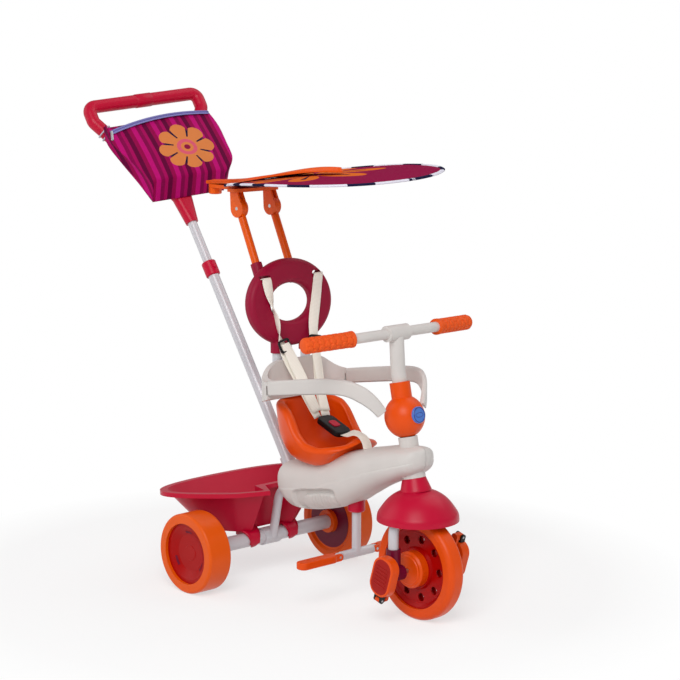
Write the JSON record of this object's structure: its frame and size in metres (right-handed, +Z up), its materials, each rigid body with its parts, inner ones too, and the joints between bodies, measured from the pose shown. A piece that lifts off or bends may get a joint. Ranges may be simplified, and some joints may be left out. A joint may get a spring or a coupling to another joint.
{
  "type": "children's tricycle",
  "caption": "Push-along children's tricycle with steered front wheel, bucket seat, ring backrest, fabric sun canopy, telescopic parent handle with bag, and rear bucket.",
  "frame": {"origin": "on the ground, at the middle of the whole object's box", "axes": "+X towards the front wheel, +Y to the rider's left, +Z up; the rear axle lies along Y"},
  "size_m": [1.0849, 0.497, 1.0993],
  "materials": {
    "orange_shell": "gloss",
    "crimson_shell": "gloss",
    "dark_crimson": "matte",
    "grey_shell": "gloss",
    "silver_tube": "gloss",
    "hub_red": "gloss",
    "plum": "matte",
    "black_plastic": "matte",
    "grip_rubber": "matte",
    "tread_rubber": "matte",
    "bare_steel": "brushed",
    "webbing": "woven",
    "bag_cloth": "woven",
    "canopy_cloth": "woven",
    "badge_blue": "gloss"
  },
  "bodies": {
    "frame": {"axle_nuts": "bare_steel", "back_posts": "silver_tube", "body_cover_l": "grey_shell", "body_cover_r": "grey_shell", "canopy_posts": "orange_shell", "cover_screws": "bare_steel", "footrest_collar": "crimson_shell", "footrest_stem": "silver_tube", "frame_bushes": "black_plastic", "harness_buckle": "black_plastic", "harness_straps": "webbing", "head_tube": "silver_tube", "hinge_pins": "bare_steel", "main_frame": "silver_tube", "rear_axle_rod": "bare_steel", "rear_axle_tube": "silver_tube", "seat_back": "dark_crimson", "seat_shell": "orange_shell", "seat_surround": "grey_shell", "strap_sliders": "black_plastic"},
    "front_wheel": {"front_tyre": "orange_shell", "front_hub_halves": "hub_red", "crank_spindle": "bare_steel", "clutch_bosses": "orange_shell", "cranks": "orange_shell", "pedal_hinge_pins": "bare_steel"},
    "pedal_right": {"pedal_fork_r": "black_plastic", "pedal_r": "orange_shell", "pedal_tread_r": "tread_rubber"},
    "pedal_left": {"pedal_fork_l": "black_plastic", "pedal_l": "orange_shell", "pedal_tread_l": "tread_rubber"},
    "steering": {"fork_tube": "silver_tube", "fork_ends": "plum", "fender": "crimson_shell", "steering_housing": "orange_shell", "steering_badge": "badge_blue", "stem": "grey_shell", "handlebar": "silver_tube", "grips": "grip_rubber"},
    "rear_wheel_right": {"rear_wheel_r": "orange_shell", "rear_hub_r": "hub_red"},
    "rear_wheel_left": {"rear_wheel_l": "orange_shell", "rear_hub_l": "hub_red"},
    "canopy": {"canopy_fabric": "canopy_cloth", "canopy_arm": "orange_shell", "canopy_rail": "orange_shell", "canopy_knob": "orange_shell"},
    "push_pole": {"push_pole_lower": "silver_tube", "pole_collar": "crimson_shell"},
    "handle": {"push_pole_upper": "silver_tube", "push_handle": "crimson_shell", "bag": "bag_cloth"},
    "pole_button": {"pole_button": "crimson_shell"},
    "buckle_button": {"buckle_button": "crimson_shell"},
    "safety_arm_right": {"safety_arm_r": "grey_shell"},
    "safety_arm_left": {"safety_arm_l": "grey_shell"},
    "foot_peg_right": {"foot_peg_r": "orange_shell"},
    "foot_peg_left": {"foot_peg_l": "orange_shell"},
    "bucket": {"bucket": "crimson_shell"}
  },
  "joints": [
    {"name": "steering", "type": "hinge", "parent": "frame", "child": "steering", "pos_m": [0.41543, 0, 0.277], "axis": [-0.2164, 0, 0.9763], "range_deg": [-40, 40]},
    {"name": "front_wheel_spin", "type": "hinge", "parent": "steering", "child": "front_wheel", "pos_m": [0.42983, 0, 0.11265], "axis": [0, 1, 0], "continuous": true},
    {"name": "pedal_right_fold", "type": "hinge", "parent": "front_wheel", "child": "pedal_right", "pos_m": [0.41375, -0.1065, 0.06005], "axis": [0.9563, 0, -0.2924], "range_deg": [0, 90]},
    {"name": "pedal_left_fold", "type": "hinge", "parent": "front_wheel", "child": "pedal_left", "pos_m": [0.44591, 0.1065, 0.16525], "axis": [0.9563, 0, -0.2924], "range_deg": [0, 90]},
    {"name": "rear_wheel_right_spin", "type": "hinge", "parent": "frame", "child": "rear_wheel_right", "pos_m": [-0.05857, 0, 0.09], "axis": [0, 1, 0], "continuous": true},
    {"name": "rear_wheel_left_spin", "type": "hinge", "parent": "frame", "child": "rear_wheel_left", "pos_m": [-0.05857, 0, 0.09], "axis": [0, 1, 0], "continuous": true},
    {"name": "canopy_tilt", "type": "hinge", "parent": "frame", "child": "canopy", "pos_m": [-0.09637, 0, 0.8442], "axis": [0, 1, 0], "range_deg": [-75, 15]},
    {"name": "pole_turn", "type": "hinge", "parent": "frame", "child": "push_pole", "pos_m": [-0.25847, 0, 0.6884], "axis": [-0.5456, 0, 0.8381], "range_deg": [-25, 25]},
    {"name": "handle_slide", "type": "slide", "parent": "push_pole", "child": "handle", "axis": [-0.5456, 0, 0.8381], "range_m": [-0.09, 0]},
    {"name": "pole_button_press", "type": "slide", "parent": "push_pole", "child": "pole_button", "axis": [-0.8381, 0, -0.5456], "range_m": [0, 0.0025], "stiffness_N_per_m": 400},
    {"name": "buckle_button_press", "type": "slide", "parent": "frame", "child": "buckle_button", "axis": [-0.3584, 0, -0.9336], "range_m": [0, 0.0015], "stiffness_N_per_m": 400},
    {"name": "safety_arm_right_swing", "type": "hinge", "parent": "frame", "child": "safety_arm_right", "pos_m": [0.08143, -0.118, 0.462], "axis": [0, 0, 1], "range_deg": [-60, 0]},
    {"name": "safety_arm_left_swing", "type": "hinge", "parent": "frame", "child": "safety_arm_left", "pos_m": [0.08143, 0.118, 0.462], "axis": [0, 0, 1], "range_deg": [0, 60]},
    {"name": "foot_peg_right_fold", "type": "hinge", "parent": "frame", "child": "foot_peg_right", "pos_m": [0.23343, -0.056, 0.106], "axis": [1, 0, 0], "range_deg": [-80, 0]},
    {"name": "foot_peg_left_fold", "type": "hinge", "parent": "frame", "child": "foot_peg_left", "pos_m": [0.23343, 0.056, 0.106], "axis": [1, 0, 0], "range_deg": [0, 80]},
    {"name": "bucket_tip", "type": "hinge", "parent": "frame", "child": "bucket", "pos_m": [-0.05857, 0, 0.09], "axis": [0, 1, 0], "range_deg": [-35, 0]}
  ]
}
